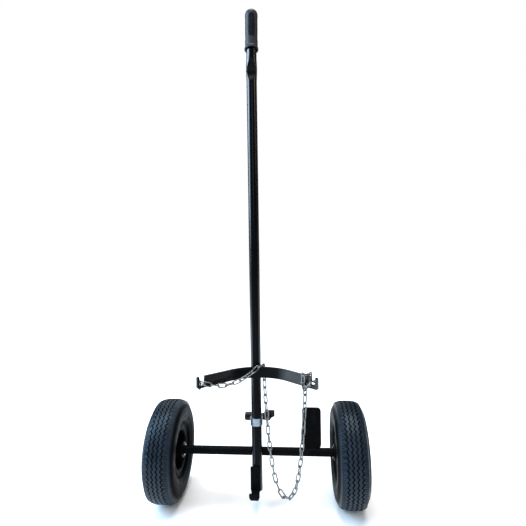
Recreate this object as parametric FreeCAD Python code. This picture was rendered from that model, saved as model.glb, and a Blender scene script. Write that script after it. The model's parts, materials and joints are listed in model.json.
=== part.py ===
import FreeCAD, Part

import math
import os

# Two-wheeled hand trolley for an upright gas cylinder, in millimetres.
# +X is to the right for someone who faces the cylinder side, -Y is the side that the cylinder
# stands on, +Z is up. The origin is on the floor, below the middle of the axle.

V = FreeCAD.Vector
X_AXIS = V(1, 0, 0)
Y_AXIS = V(0, 1, 0)
Z_AXIS = V(0, 0, 1)

# ---- driving dimensions ----
# wheels: pneumatic, 260 mm over the tread, on 4 inch split steel rims
tyre_radius = 130.0
tyre_half_width = 40.0
track = 478.0                 # between the two wheel mid-planes
bead_radius = 51.0
rim_flange_radius = 66.0
rim_sheet = 2.2
hub_length = 75.0
hub_radius = 20.5
rim_bolt_circle_radius = 35.0
rim_bolt_count = 4
rim_bolt_radius = 4.0
tread_groove_offsets = (-24.0, -8.0, 8.0, 24.0)
tread_groove_half_width = 1.8
tread_groove_depth = 4.0
tube_ring_radius = 88.0
tube_section_radius = 29.5
tube_wall = 2.0
valve_radius = 4.0
valve_offset = 12.0           # from the wheel mid-plane, on the outer side

# ball bearings, two in each hub
shaft_radius = 8.0
shaft_play = 0.02             # radial, shaft to inner ring, washer and axle tube
bearing_radius = 17.5
bearing_width = 11.0
bearing_side_play = 0.4       # the inner ring stands this far out of the outer ring at each side
inner_ring_radius = 10.9
outer_ring_bore = 14.6
ball_radius = 3.1
ball_circle_radius = 12.75
ball_count = 8
ball_play = 0.3               # ball to inner ring groove
ball_seat_play = 0.03         # ball to outer ring groove

# axle
axle_tube_radius = 11.0
washer_radius = 15.0
washer_thickness = 3.0
split_pin_radius = 1.9
split_pin_wire_radius = 1.2
split_pin_eye_radius = 3.2
split_pin_eye_rise = 4.6      # the eye's centre, above the shaft
split_pin_leg_length = 10.0
split_pin_gap = 0.3           # from the washer
shaft_end_length = 6.5        # beyond the split pin
shaft_chamfer = 1.5

# pole: 26.9 mm tube, with a shallow crushed bend below the grip
pole_radius = 13.45
pole_wall = 2.3
pole_bottom_z = 42.0
bend_z = 1137.0
bend_angle = 6.0              # degrees, the grip leans back, away from the cylinder
bend_half_length = 36.0
bend_half_width = 14.7
bend_half_depth = 11.6

# grip
grip_start = 54.0             # from the bend, along the leaning axis
grip_length = 110.0
grip_radius = 17.1
grip_mouth_radius = 18.4       # the lip round the open end
grip_mouth_length = 5.0
grip_mouth_bore = 16.2
grip_mouth_depth = 6.0

# cradle: 28 x 5 flat bar, rolled in the middle, with straight arms
cradle_bottom_z = 338.5
cradle_height = 28.0
cradle_thickness = 5.0
cradle_inner_radius = 100.0
cradle_arc_half_angle = 44.0
cradle_half_chord = 140.0
cradle_offset = 12.0          # the bar is welded on this far to the right
slot_width = 14.0
slot_depth = 22.0
slot_tab = 6.5
slot_corner = 4.0

# foot hook: 26 x 6 flat bar with an upturned lip
foot_width = 26.0
foot_thickness = 6.0
foot_top_z = 108.0
foot_floor_z = 39.5
foot_reach = 40.0             # from the front of the pole to the front of the lip
foot_lip_height = 21.0
foot_shift = -3.0
foot_bend_radius = 5.0

# kick plate above the axle
plate_width = 50.0
plate_thickness = 5.0
plate_centre_x = 143.5
plate_top_z = 248.0
plate_corner = 9.5
plate_foot_chamfer = 7.0

# clamp on the pole
clamp_z = 221.5
clamp_height = 19.0
clamp_sheet = 3.0
clamp_play = 0.06             # radial, band to pole
clamp_ear_gap = 5.0
clamp_ear_length = 21.0
clamp_bolt_y = 4.0
clamp_bolt_radius = 3.0
clamp_ear_corner = 4.0
clamp_head_size = 10.0        # the bolt's square head
clamp_head_height = 4.0
clamp_seat_play = 0.05        # between the bolt, its cap and the ears
clamp_cap_radius = 11.2
clamp_cap_end_x = -34.0
knob_start_x = 11.0
knob_hub_end_x = 33.0
knob_tip_x = 46.0
knob_hub_radius = 10.0
knob_lever_reach = 16.0
knob_lever_thickness = 9.0
knob_bush_radius = 5.2
knob_bush_length = 6.0
knob_thread_play = 0.06       # radial, bush and knob to bolt

# chain: 3 mm welded link
wire_radius = 1.5
link_pitch = 19.6
link_outer_half_width = 6.0
link_play = 0.6               # slack between two hooked wires
hanging_links = 33
front_links = 8
front_half_twists = 3         # how far the front run is twisted over its length
chain_gap = 0.15              # between a link and the edge that it lies on

# the link that lies flat on the cradle's top edge, beside the pole
edge_link_front_x = 8.7
edge_link_front_gap = 5.9     # its front end stands this far in front of the bar
edge_link_back_x = 19.5
edge_link_back_gap = 5.5      # and its back end this far behind it

# the link that lies flat in the left slot
left_slot_rise = 6.5          # above the slot's floor
left_slot_hook_depth = 6.0    # the front run hooks in this far in front of the arm
left_slot_reach = 10.4        # its front end

# the chain's end, looped over the right arm and back through its slot
loop_over_along = 66.5        # along the arm, where the chain goes over the top edge
loop_over_skew = 0.2          # how far the link on the edge is turned along the arm
loop_back_depth = -10.43
loop_front_depth = 5.77
loop_hook_depth = 6.96
loop_low_drop = -0.07         # the lowest link, below the wire it hangs from
loop_low_side = 0.33          # its lean along the arm
loop_return_side = -1.41      # the returning link's tip, from the lowest link's tip
loop_return_rise = 0.93
loop_slot_shift = -3.06       # the link in the slot, from the slot's middle
loop_slot_rise = 6.12         # above the slot's floor
loop_slot_reach = 7.46        # in front of the arm
loop_slot_lean = 0.16
loop_behind_rise = 0.21       # the slope of the link behind the arm
loop_end_side = 2.0           # where the hanging loop hooks in, from the lowest link's tip
loop_end_rise = 12.0

# ---- worked out from the driving dimensions ----
axle_z = tyre_radius
pole_y = -(axle_tube_radius + pole_radius)
pole_front_y = pole_y - pole_radius
wheel_x = track / 2
hub_end = hub_length / 2
bearing_reach = hub_end + bearing_side_play
washer_outer_x = wheel_x + bearing_reach + washer_thickness
split_pin_x = washer_outer_x + split_pin_radius + split_pin_gap
shaft_end_x = split_pin_x + shaft_end_length
axle_tube_end_x = wheel_x - bearing_reach - washer_thickness
cradle_top_z = cradle_bottom_z + cradle_height
cradle_front_y = pole_front_y - cradle_thickness
cradle_centre_y = cradle_front_y - cradle_inner_radius
slot_floor_z = cradle_top_z - slot_depth


def solid_node(name, solids):
    """Writes one named sub-part as one or more separate solids."""
    shape = solids[0] if len(solids) == 1 else Part.makeCompound(solids)
    shape.exportStep("parts/" + name + ".step")
    for solid in solids:
        if not solid.isValid() or solid.Volume <= 0:
            raise ValueError(name + " has a bad solid")
    volume = sum(solid.Volume for solid in solids) / 1000.0
    print(f"{name:28s} {len(solids):3d} solids {volume:9.2f} cm3")


def cylinder(radius, start, along, length):
    return Part.makeCylinder(radius, length, start, along)


def rounded_face(points, radii):
    """A flat face from corner points in order, each corner rounded to its own radius."""
    count = len(points)
    edges = []
    joints = []
    for i in range(count):
        corner = points[i]
        towards_last = (points[i - 1] - corner).normalize()
        towards_next = (points[(i + 1) % count] - corner).normalize()
        if radii[i] == 0:
            joints.append((corner, None, corner))
            continue
        half_turn = towards_last.getAngle(towards_next) / 2
        setback = radii[i] / math.tan(half_turn)
        first = corner + towards_last * setback
        last = corner + towards_next * setback
        bisector = (towards_last + towards_next).normalize()
        middle = corner + bisector * (radii[i] / math.sin(half_turn) - radii[i])
        joints.append((first, middle, last))
    for i in range(count):
        first, middle, last = joints[i]
        if middle is not None:
            edges.append(Part.Arc(first, middle, last).toShape())
        following = joints[(i + 1) % count][0]
        if (following - last).Length > 1e-6:
            edges.append(Part.LineSegment(last, following).toShape())
    return Part.Face(Part.Wire(edges))


def turned(profile, radii=None):
    """Turns a closed profile of (x, radius) points about the X axis."""
    points = [V(x, 0, r) for x, r in profile]
    face = rounded_face(points, radii or [0] * len(points))
    return face.revolve(V(0, 0, 0), X_AXIS, 360)


def hex_prism(across_flats, start_x, length, y, z):
    corner_radius = across_flats / math.sqrt(3)
    corners = [
        V(start_x, y + corner_radius * math.cos(a), z + corner_radius * math.sin(a))
        for a in (math.radians(60 * k) for k in range(7))
    ]
    return Part.Face(Part.makePolygon(corners)).extrude(V(length, 0, 0))


# ---------------------------------------------------------------- pole, grip
def lean(point_above_bend):
    """Rotates a point given along the straight pole to the leaning part above the bend."""
    turned_point = FreeCAD.Rotation(X_AXIS, -bend_angle).multVec(point_above_bend)
    return V(0, pole_y, bend_z) + turned_point


def lean_shape(shape):
    shape.rotate(V(0, 0, 0), X_AXIS, -bend_angle)
    shape.translate(V(0, pole_y, bend_z))
    return shape


def pole_section(distance, width, depth):
    """A section of the bend, at a distance along the pole from the middle of the bend."""
    share = (distance / bend_half_length + 1) / 2
    if width > depth:
        outline = Part.Ellipse(V(0, 0, 0), width, depth)
    else:
        outline = Part.Circle(V(0, 0, 0), Z_AXIS, width)
    wire = Part.Wire([outline.toShape()])
    wire.rotate(V(0, 0, 0), X_AXIS, -bend_angle * share)
    centre = V(0, pole_y, bend_z + distance) if distance <= 0 else lean(V(0, 0, distance))
    wire.translate(centre)
    return wire


def pole_core(radius_cut):
    """The pole as a solid rod, made smaller all round by radius_cut."""
    radius = pole_radius - radius_cut
    straight = cylinder(
        radius, V(0, pole_y, pole_bottom_z), Z_AXIS, bend_z - bend_half_length - pole_bottom_z
    )
    top_length = grip_start + grip_length - 8 - bend_half_length
    leaning = lean_shape(cylinder(radius, V(0, 0, bend_half_length), Z_AXIS, top_length))
    bend = Part.makeLoft(
        [
            pole_section(-bend_half_length, radius, radius),
            pole_section(0, bend_half_width - radius_cut, bend_half_depth - radius_cut),
            pole_section(bend_half_length, radius, radius),
        ],
        True,
    )
    return straight, bend, leaning


def pole_tube():
    walls = [
        outside.cut(inside) for outside, inside in zip(pole_core(0), pole_core(pole_wall))
    ]
    return walls[0].fuse(walls[1:]).removeSplitter()


def hand_grip():
    """Rubber sleeve: a lip round its recessed mouth, and a domed closed end."""
    bore = pole_radius + 0.05
    end = grip_start + grip_length
    mouth_end = grip_start + grip_mouth_length
    profile = [
        V(bore, 0, grip_start + grip_mouth_depth),
        V(grip_mouth_bore, 0, grip_start + grip_mouth_depth),
        V(grip_mouth_bore, 0, grip_start),
        V(grip_mouth_radius, 0, grip_start),
        V(grip_mouth_radius, 0, mouth_end),
        V(grip_radius - 0.6, 0, mouth_end + 3),
        V(grip_radius, 0, mouth_end + 45),
        V(grip_radius - 0.2, 0, end - 9),
        V(grip_radius - 7, 0, end),
        V(0, 0, end),
        V(0, 0, end - 7),
        V(bore, 0, end - 7),
    ]
    face = rounded_face(profile, [0, 0.5, 0.5, 1, 2, 2, 60, 6, 5, 0, 0, 0])
    return lean_shape(face.revolve(V(0, 0, 0), Z_AXIS, 360))


# ---------------------------------------------------------------- cradle
def cradle_arm_start(depth):
    """Where the rolled middle meets the right arm, depth in front of (+) the concave face."""
    angle = math.radians(cradle_arc_half_angle)
    radius = cradle_inner_radius - depth
    return V(radius * math.sin(angle), cradle_centre_y + radius * math.cos(angle), 0)


def cradle_point(side, along, depth, z):
    """A point beside an arm: along it from the rolled middle, and in front of its concave face."""
    angle = math.radians(cradle_arc_half_angle)
    start = cradle_arm_start(depth)
    x = start.x + along * math.cos(angle)
    y = start.y - along * math.sin(angle)
    return V(side * x + cradle_offset, y, z)


arm_length = (cradle_half_chord - cradle_arm_start(0).x) / math.cos(
    math.radians(cradle_arc_half_angle)
)
slot_centre = arm_length - slot_tab - slot_width / 2


def cradle_strip():
    """The flat bar, with one upright chain slot near each end."""
    middle_front = V(cradle_offset, cradle_front_y, cradle_bottom_z)
    middle_back = V(cradle_offset, pole_front_y, cradle_bottom_z)
    front = [cradle_point(s, a, 0, cradle_bottom_z) for s, a in
             ((-1, arm_length), (-1, 0), (1, 0), (1, arm_length))]
    back = [cradle_point(s, a, -cradle_thickness, cradle_bottom_z) for s, a in
            ((1, arm_length), (1, 0), (-1, 0), (-1, arm_length))]
    edges = [
        Part.LineSegment(front[0], front[1]).toShape(),
        Part.Arc(front[1], middle_front, front[2]).toShape(),
        Part.LineSegment(front[2], front[3]).toShape(),
        Part.LineSegment(front[3], back[0]).toShape(),
        Part.LineSegment(back[0], back[1]).toShape(),
        Part.Arc(back[1], middle_back, back[2]).toShape(),
        Part.LineSegment(back[2], back[3]).toShape(),
        Part.LineSegment(back[3], front[0]).toShape(),
    ]
    bar = Part.Face(Part.Wire(edges)).extrude(V(0, 0, cradle_height))
    for side in (-1, 1):
        bar = bar.cut(chain_slot(side))
        bar = bar.cut(end_corners(side))
    return bar


def arm_cutter(side, outline, radii):
    """A cutter through an arm, drawn as (along, z) points."""
    through = 4 * cradle_thickness
    points = [cradle_point(side, a, through / 2, z) for a, z in outline]
    depth = cradle_point(side, 0, -through / 2, 0) - cradle_point(side, 0, through / 2, 0)
    return rounded_face(points, radii).extrude(depth)


def chain_slot(side):
    low = slot_centre - slot_width / 2
    high = slot_centre + slot_width / 2
    top = cradle_top_z + 5
    outline = [(low, slot_floor_z), (high, slot_floor_z), (high, top), (low, top)]
    return arm_cutter(side, outline, [slot_corner, slot_corner, 0, 0])


def end_corners(side):
    """Takes off the two outer corners of an arm."""
    top_cut = slot_tab / 2
    bottom_cut = 4.0
    above = cradle_top_z + 1
    below = cradle_bottom_z - 1
    top = [(arm_length - top_cut, above), (arm_length + 1, above),
           (arm_length + 1, cradle_top_z - top_cut - 1)]
    bottom = [(arm_length + 1, below), (arm_length - bottom_cut - 1, below),
              (arm_length + 1, cradle_bottom_z + bottom_cut)]
    return arm_cutter(side, top, [0, 0, 0]).fuse(arm_cutter(side, bottom, [0, 0, 0]))


# ---------------------------------------------------------------- foot hook
def foot_hook():
    """Flat bar down the front of the pole, forward, and up into a lip that leans forward."""
    back = pole_front_y
    front = back - foot_thickness
    lip_front = back - foot_reach
    lip_back = lip_front + foot_thickness
    lip_lean = 5.0
    floor_top = foot_floor_z + foot_thickness
    lip_top = foot_floor_z + foot_lip_height
    outline = [
        (back, foot_top_z), (front, foot_top_z), (front, floor_top), (lip_back, floor_top),
        (lip_back - lip_lean, lip_top), (lip_front - lip_lean, lip_top),
        (lip_front, foot_floor_z), (back, foot_floor_z),
    ]
    inner = foot_bend_radius
    outer = foot_bend_radius + foot_thickness
    radii = [0, 2, inner, inner, 1, 1, outer, outer]
    start_x = foot_shift - foot_width / 2
    face = rounded_face([V(start_x, y, z) for y, z in outline], radii)
    hook = face.extrude(V(foot_width, 0, 0))
    corner = 5.0
    for side in (-1, 1):
        edge_x = foot_shift + side * foot_width / 2
        notch = [V(edge_x, lip_front - 20, foot_floor_z - 1),
                 V(edge_x - side * corner, lip_front - 20, foot_floor_z - 1),
                 V(edge_x + side, lip_front - 20, foot_floor_z + 3 * corner)]
        cutter = rounded_face(notch, [0, 0, 0]).extrude(V(0, foot_reach + 20 + 10, 0))
        hook = hook.cut(cutter)
    return hook


# ---------------------------------------------------------------- axle, plate
def axle_tube():
    length = 2 * axle_tube_end_x
    start = V(-axle_tube_end_x, 0, axle_z)
    outside = cylinder(axle_tube_radius, start, X_AXIS, length)
    return outside.cut(cylinder(shaft_radius + shaft_play, start, X_AXIS, length))


def axle_shaft():
    """Solid bar through tube and hubs, chamfered, cross-drilled for the split pins."""
    end = shaft_end_x
    end_radius = shaft_radius - shaft_chamfer
    profile = [(-end, 0), (-end, end_radius), (-end + shaft_chamfer, shaft_radius),
               (end - shaft_chamfer, shaft_radius), (end, end_radius), (end, 0)]
    bar = turned(profile)
    bar.translate(V(0, 0, axle_z))
    for side in (-1, 1):
        start = V(side * split_pin_x, 0, axle_z - shaft_radius - 5)
        bar = bar.cut(cylinder(split_pin_radius + 0.1, start, Z_AXIS, 2 * shaft_radius + 10))
    return bar


def ring(outer, inner, start_x, length, z):
    start = V(start_x, 0, z)
    return cylinder(outer, start, X_AXIS, length).cut(cylinder(inner, start, X_AXIS, length))


def axle_washers():
    inner = shaft_radius + shaft_play
    starts = (axle_tube_end_x, washer_outer_x - washer_thickness)
    washers = []
    for start in starts:
        washers.append(ring(washer_radius, inner, start, washer_thickness, axle_z))
        washers.append(
            ring(washer_radius, inner, -start - washer_thickness, washer_thickness, axle_z)
        )
    return washers


def split_pins():
    """One at each end of the shaft: an eye above, a shank, and two legs bent apart below."""
    pins = []
    wire = split_pin_wire_radius
    eye_z = axle_z + shaft_radius + split_pin_eye_rise
    shank_low = axle_z - shaft_radius - split_pin_radius
    shank_length = eye_z - split_pin_eye_radius - shank_low
    for side in (-1, 1):
        x = side * split_pin_x
        eye = Part.makeTorus(split_pin_eye_radius, wire, V(x, 0, eye_z), X_AXIS)
        pin = eye.fuse(cylinder(split_pin_radius, V(x, 0, shank_low), Z_AXIS, shank_length))
        for way in (-1, 1):
            leg_start = V(x, way * wire / 2, shank_low + wire)
            leg = cylinder(wire, leg_start, V(0, way, -0.55), split_pin_leg_length)
            pin = pin.fuse(leg)
        pins.append(pin)
    return pins


def kick_plate():
    """Upright plate with rounded upper corners, saddled on the axle tube."""
    half = plate_width / 2
    low = axle_z + 4
    cut_z = axle_z + axle_tube_radius + plate_foot_chamfer
    outline = [(-half, plate_top_z), (half, plate_top_z), (half, cut_z + 2),
               (half - plate_foot_chamfer, low), (-half + plate_foot_chamfer, low),
               (-half, cut_z + 2)]
    points = [V(plate_centre_x + x, -plate_thickness / 2, z) for x, z in outline]
    face = rounded_face(points, [plate_corner, plate_corner, 0, 0, 0, 0])
    plate = face.extrude(V(0, plate_thickness, 0))
    start = V(-axle_tube_end_x, 0, axle_z)
    return plate.cut(cylinder(axle_tube_radius, start, X_AXIS, 2 * axle_tube_end_x))


# ---------------------------------------------------------------- clamp on the pole
clamp_inner_radius = pole_radius + clamp_play
clamp_outer_radius = clamp_inner_radius + clamp_sheet
ear_outer_x = clamp_ear_gap / 2 + clamp_sheet


def clamp_band():
    """Band round the pole, open at the back, with two ears that the bolt draws together."""
    low = clamp_z - clamp_height / 2
    centre = V(0, pole_y, low)
    band = cylinder(clamp_outer_radius, centre, Z_AXIS, clamp_height)
    ears_end = pole_y + clamp_inner_radius + clamp_ear_length
    outline = [V(-ear_outer_x, pole_y, low), V(-ear_outer_x, ears_end, low),
               V(-ear_outer_x, ears_end, low + clamp_height),
               V(-ear_outer_x, pole_y, low + clamp_height)]
    ear_face = rounded_face(outline, [0, clamp_ear_corner, clamp_ear_corner, 0])
    band = band.fuse(ear_face.extrude(V(2 * ear_outer_x, 0, 0)))
    band = band.cut(cylinder(clamp_inner_radius, centre, Z_AXIS, clamp_height))
    gap = Part.makeBox(
        clamp_ear_gap, 3 * clamp_ear_length, clamp_height + 2, V(-clamp_ear_gap / 2, pole_y, low - 1)
    )
    band = band.cut(gap)
    hole = cylinder(clamp_bolt_radius + 0.1, V(-20, clamp_bolt_y, clamp_z), X_AXIS, 40)
    return band.cut(hole).removeSplitter()


def clamp_bolt():
    """Screw across the ears, with its square head sunk in the round cap."""
    size = clamp_head_size
    head_end = -ear_outer_x - 2 * clamp_seat_play
    head_start = head_end - clamp_head_height
    shank_start = V(head_end - clamp_head_height / 2, clamp_bolt_y, clamp_z)
    shank_length = knob_hub_end_x - 4 - shank_start.x
    shank = cylinder(clamp_bolt_radius, shank_start, X_AXIS, shank_length)
    corner = V(head_start, clamp_bolt_y - size / 2, clamp_z - size / 2)
    return shank.fuse(Part.makeBox(clamp_head_height, size, size, corner)).removeSplitter()


def clamp_cap():
    """Round moulded cap over the bolt head."""
    inner_x = -ear_outer_x - clamp_seat_play
    centre = V(0, clamp_bolt_y, clamp_z)
    radius = clamp_cap_radius
    profile = [(clamp_cap_end_x, 0), (clamp_cap_end_x, radius - 0.7), (inner_x - 5, radius),
               (inner_x, radius - 4), (inner_x, 0)]
    cap = turned(profile, [0, 3.5, 2, 1, 0])
    cap.translate(centre)
    depth = clamp_head_height + 2 * clamp_seat_play
    size = clamp_head_size + 2 * clamp_seat_play
    corner = V(inner_x - depth, clamp_bolt_y - size / 2, clamp_z - size / 2)
    return cap.cut(Part.makeBox(depth, size, size, corner))


def thumb_knob():
    """Moulded hub with one thumb lever that rises outwards."""
    start = knob_start_x
    hub = turned(
        [(start, 0), (start, 7.5), (start + 6, knob_hub_radius - 0.5),
         (knob_hub_end_x, knob_hub_radius), (knob_hub_end_x + 4, knob_hub_radius - 5),
         (knob_hub_end_x + 4, 0)],
        [0, 1, 2, 2, 2, 0],
    )
    side_y = -knob_lever_thickness / 2
    outline = [(start + 7, 0), (start + 12, knob_lever_reach), (knob_tip_x, knob_lever_reach),
               (knob_tip_x, 1.8), (knob_hub_end_x + 2, -3), (knob_hub_end_x - 6, -3)]
    lever = rounded_face([V(x, side_y, z) for x, z in outline], [0, 4, 2.5, 3, 0, 0])
    knob = hub.fuse(lever.extrude(V(0, knob_lever_thickness, 0))).removeSplitter()
    pocket = cylinder(knob_bush_radius, V(start, 0, 0), X_AXIS, knob_bush_length)
    bore_length = knob_hub_end_x - 2 - start
    bore = cylinder(clamp_bolt_radius + knob_thread_play, V(start, 0, 0), X_AXIS, bore_length)
    knob = knob.cut(pocket).cut(bore)
    knob.translate(V(0, clamp_bolt_y, clamp_z))
    return knob


def thumb_knob_bush():
    """Brass threaded bush moulded into the knob, turning on the bolt."""
    start = V(knob_start_x, clamp_bolt_y, clamp_z)
    bore_radius = clamp_bolt_radius + knob_thread_play
    outside = cylinder(knob_bush_radius, start, X_AXIS, knob_bush_length)
    return outside.cut(cylinder(bore_radius, start, X_AXIS, knob_bush_length))


# ---------------------------------------------------------------- wheel
def tyre():
    w = tyre_half_width
    top = tyre_radius
    b = bead_radius
    crown_rise = 1.2
    crown_drop = 3.4
    crown_slope = math.atan2(crown_rise + crown_drop, w - 11)
    crown_radius = crown_rise / (1 / math.cos(crown_slope) - 1)
    outline = [
        (16, b), (26.6, b), (26.6, rim_flange_radius + 1), (34, rim_flange_radius + 5),
        (w, 90), (w, 106), (w - 4, 119), (w - 11, top - crown_drop), (0, top + crown_rise),
        (-w + 11, top - crown_drop), (-w + 4, 119), (-w, 106), (-w, 90),
        (-34, rim_flange_radius + 5), (-26.6, rim_flange_radius + 1), (-26.6, b), (-16, b),
        (-18, 62), (-27.5, 72), (-w + 6, 88), (-w + 6, 104), (-w + 13, 117), (0, 122),
        (w - 13, 117), (w - 6, 104), (w - 6, 88), (27.5, 72), (18, 62),
    ]
    radii = [1, 4, 1, 8, 8, 12, 6, 3, crown_radius, 3, 6, 12, 8, 8, 1, 4, 1,
             4, 8, 7, 10, 8, 60, 8, 10, 7, 8, 4]
    body = turned(outline, radii)
    for offset in tread_groove_offsets:
        low = tyre_radius - tread_groove_depth - 0.02 * abs(offset) ** 1.6
        groove = turned([
            (offset - tread_groove_half_width, low), (offset - tread_groove_half_width, 140),
            (offset + tread_groove_half_width, 140), (offset + tread_groove_half_width, low),
        ])
        body = body.cut(groove)
    return body


def inner_tube():
    outside = Part.makeTorus(tube_ring_radius, tube_section_radius, V(0, 0, 0), X_AXIS)
    inside = Part.makeTorus(
        tube_ring_radius, tube_section_radius - tube_wall, V(0, 0, 0), X_AXIS
    )
    return outside.cut(inside)


def around(count, first_angle, radius):
    """Points on a circle about the wheel's axis."""
    for k in range(count):
        angle = math.radians(first_angle + 360.0 * k / count)
        yield radius * math.cos(angle), radius * math.sin(angle)


def rim_half(side):
    """Pressed half rim: flat disc on the mid-plane, bead seat, and curled flange."""
    t = rim_sheet
    seat = bead_radius - 0.2
    f = rim_flange_radius
    tyre_side = [(0, hub_radius), (0, seat), (26.8, seat), (26.8, f - 3), (31.5, f)]
    dish_side = [(32.3, f - 2.2), (26.8 + t, f - 5), (26.8 + t, seat - t), (t, seat - t),
                 (t, hub_radius)]
    profile = [(side * x, r) for x, r in tyre_side + dish_side]
    radii = [0, 1.0, 3, 3, 0, 0, 2, 3 + t, 3, 0]
    disc = turned(profile, radii)
    for y, z in around(rim_bolt_count, 45, rim_bolt_circle_radius):
        start = V(-side, y, z)
        disc = disc.cut(cylinder(rim_bolt_radius, start, X_AXIS * side, t + 2))
    if side > 0:
        start = V(valve_offset, 0, seat + 5)
        disc = disc.cut(cylinder(valve_radius + 0.3, start, Z_AXIS * -1, 20))
    return disc


def rim_bolts():
    """Hexagon bolts that hold the two half rims together, heads outwards."""
    bolts = []
    head_x = rim_sheet
    for y, z in around(rim_bolt_count, 45, rim_bolt_circle_radius):
        head = hex_prism(13, head_x, 5.3, y, z)
        shank = cylinder(rim_bolt_radius - 0.1, V(head_x, y, z), X_AXIS * -1, 16)
        bolts.append(head.fuse(shank).removeSplitter())
    return bolts


def rim_nuts():
    nuts = []
    for y, z in around(rim_bolt_count, 45, rim_bolt_circle_radius):
        nut = hex_prism(13, -rim_sheet - 6.5, 6.5, y, z)
        start = V(-rim_sheet - 7, y, z)
        nuts.append(nut.cut(cylinder(rim_bolt_radius - 0.05, start, X_AXIS, 8)))
    return nuts


def hub_tube():
    """Tube welded through both discs, counterbored for a bearing at each end."""
    e = hub_end
    shoulder = e - bearing_width
    seat = bearing_radius
    middle = bearing_radius - 1.8
    profile = [(-e, seat), (-e, hub_radius), (e, hub_radius), (e, seat), (shoulder, seat),
               (shoulder, middle), (-shoulder, middle), (-shoulder, seat)]
    return turned(profile)


def bearing_centres():
    offset = hub_end - bearing_width / 2
    return (-offset, offset)


def bearing_outer_rings():
    rings = []
    for centre in bearing_centres():
        start = centre - bearing_width / 2
        outer = ring(bearing_radius - 0.01, outer_ring_bore, start, bearing_width, 0)
        groove = Part.makeTorus(
            ball_circle_radius, ball_radius + ball_seat_play, V(centre, 0, 0), X_AXIS
        )
        rings.append(outer.cut(groove))
    return rings


def bearing_inner_rings():
    rings = []
    width = bearing_width + 2 * bearing_side_play
    for centre in bearing_centres():
        inner = ring(inner_ring_radius, shaft_radius + shaft_play, centre - width / 2, width, 0)
        groove = Part.makeTorus(
            ball_circle_radius, ball_radius + ball_play, V(centre, 0, 0), X_AXIS
        )
        rings.append(inner.cut(groove))
    return rings


def bearing_balls():
    return [
        Part.makeSphere(ball_radius, V(centre, y, z))
        for centre in bearing_centres()
        for y, z in around(ball_count, 0, ball_circle_radius)
    ]


def valve_stem():
    """Rubber-covered stem from the inner tube, inwards through the outer half rim."""
    top = tube_ring_radius - tube_section_radius - 0.1
    bottom = 33.0
    return cylinder(valve_radius, V(valve_offset, 0, bottom), Z_AXIS, top - bottom)


def valve_cap():
    low = 26.0
    start = V(valve_offset, 0, low)
    cap = cylinder(4.6, start, Z_AXIS, 7)
    return cap.makeFillet(1.0, [cap.Edges[2]])


def wheel_nodes(side_name, side):
    """All pieces of one wheel. The outer side faces away from the middle of the axle."""
    pieces = {
        "tyre": [tyre()],
        "inner_tube": [inner_tube()],
        "rim_outer_half": [rim_half(1)],
        "rim_inner_half": [rim_half(-1)],
        "rim_bolts": rim_bolts(),
        "rim_nuts": rim_nuts(),
        "hub_tube": [hub_tube()],
        "bearing_outer_rings": bearing_outer_rings(),
        "bearing_inner_rings": bearing_inner_rings(),
        "bearing_balls": bearing_balls(),
        "valve_stem": [valve_stem()],
        "valve_cap": [valve_cap()],
    }
    for name, solids in pieces.items():
        placed = []
        for solid in solids:
            copy = solid.mirror(V(0, 0, 0), X_AXIS) if side < 0 else solid.copy()
            copy.translate(V(side * wheel_x, 0, axle_z))
            placed.append(copy)
        solid_node(side_name + "_" + name, placed)


# ---------------------------------------------------------------- chain
# distances along a link, from the wire at its tip: to its hooking point, and to the centre of
# its end bend, and from there to the centre of the other one
tip_to_hook = wire_radius + link_play / 2
tip_to_bend = link_outer_half_width - wire_radius
bend_to_bend = link_pitch + link_play + 2 * wire_radius - 2 * tip_to_bend


def link_solid():
    """One welded link, lying along X in the XZ plane, centred on the origin."""
    solids = []
    for side in (-1, 1):
        centre = V(side * bend_to_bend / 2, 0, 0)
        circle = Part.Circle(centre + V(0, 0, -tip_to_bend), X_AXIS, wire_radius)
        section = Part.Face(Part.Wire([circle.toShape()]))
        solids.append(section.revolve(centre, Y_AXIS * -side, 180))
        rail_start = V(-bend_to_bend / 2, 0, side * tip_to_bend)
        solids.append(cylinder(wire_radius, rail_start, X_AXIS, bend_to_bend))
    return solids[0].fuse(solids[1:]).removeSplitter()


link_template = link_solid()


def link_at(middle, along, spread):
    """A link centred on a point, along a direction, its width as near to spread as it can be."""
    way = V(along).normalize()
    width = (spread - way * spread.dot(way)).normalize()
    rotation = FreeCAD.Rotation(way, width.cross(way), width, "XZY")
    link = link_template.copy()
    link.Placement = FreeCAD.Placement(middle, rotation)
    return link


def link_between(start, end, spread):
    """A link midway between two points."""
    return link_at((start + end) * 0.5, end - start, spread)


def link_beside(bend_centre, along, spread):
    """A link that starts with the end bend round bend_centre and runs along a direction."""
    way = V(along).normalize()
    return link_at(bend_centre + way * (bend_to_bend / 2), way, spread)


def chain_slopes(count, first, tension):
    """The steepness of each link of a hanging chain of equal links."""
    return [math.atan2(i + 0.5 - first, tension) for i in range(count)]


def hanging_points(start, end, count):
    """The hooking points of a chain of equal rigid links that hangs between two points."""
    span = V(end.x - start.x, end.y - start.y, 0)
    direction = V(span.x, span.y, 0).normalize()
    rise = (end.z - start.z) / link_pitch
    run = span.Length / link_pitch
    low_tension, high_tension = 1e-3, 1e3
    for _ in range(80):
        tension = math.sqrt(low_tension * high_tension)
        low_first, high_first = -20.0 * count, 20.0 * count
        for _ in range(60):
            first = (low_first + high_first) / 2
            slopes = chain_slopes(count, first, tension)
            if sum(math.sin(s) for s in slopes) > rise:
                low_first = first
            else:
                high_first = first
        if sum(math.cos(s) for s in slopes) > run:
            high_tension = tension
        else:
            low_tension = tension
    points = [start]
    for slope in slopes:
        step = direction * math.cos(slope) + Z_AXIS * math.sin(slope)
        points.append(points[-1] + step * link_pitch)
    return points


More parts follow.
